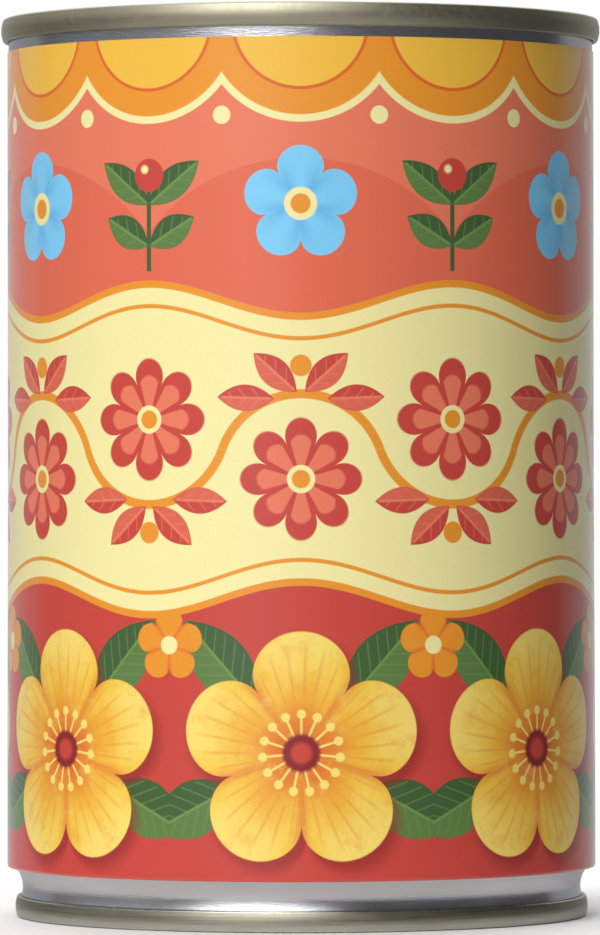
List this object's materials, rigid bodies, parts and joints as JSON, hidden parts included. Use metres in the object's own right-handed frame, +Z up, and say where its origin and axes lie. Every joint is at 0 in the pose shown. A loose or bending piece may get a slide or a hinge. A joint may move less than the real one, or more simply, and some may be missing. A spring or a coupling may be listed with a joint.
{
  "type": "labelled food can",
  "caption": "Sealed steel food can with a wrapped paper label, double-seamed ends, a necked-in foot that stacks into the lid's recess, and a ring-pull on a scored lid.",
  "frame": {"origin": "middle of the circle that the can stands on", "axes": "+Z up along the can's axis; -Y is the front of the label, and the ring-pull's nose points to +Y, where the label's lap is"},
  "size_m": [0.0748, 0.0748, 0.112],
  "materials": {
    "tinplate": "satin",
    "lacquered_plate": "satin",
    "tab_plate": "satin",
    "printed_paper": "satin",
    "filling": "gloss"
  },
  "bodies": {
    "root": {"can_body": "tinplate", "top_end": "lacquered_plate", "base_end": "lacquered_plate", "pull_tab": "tab_plate", "paper_label": "printed_paper", "fruit_in_syrup": "filling"}
  },
  "joints": []
}
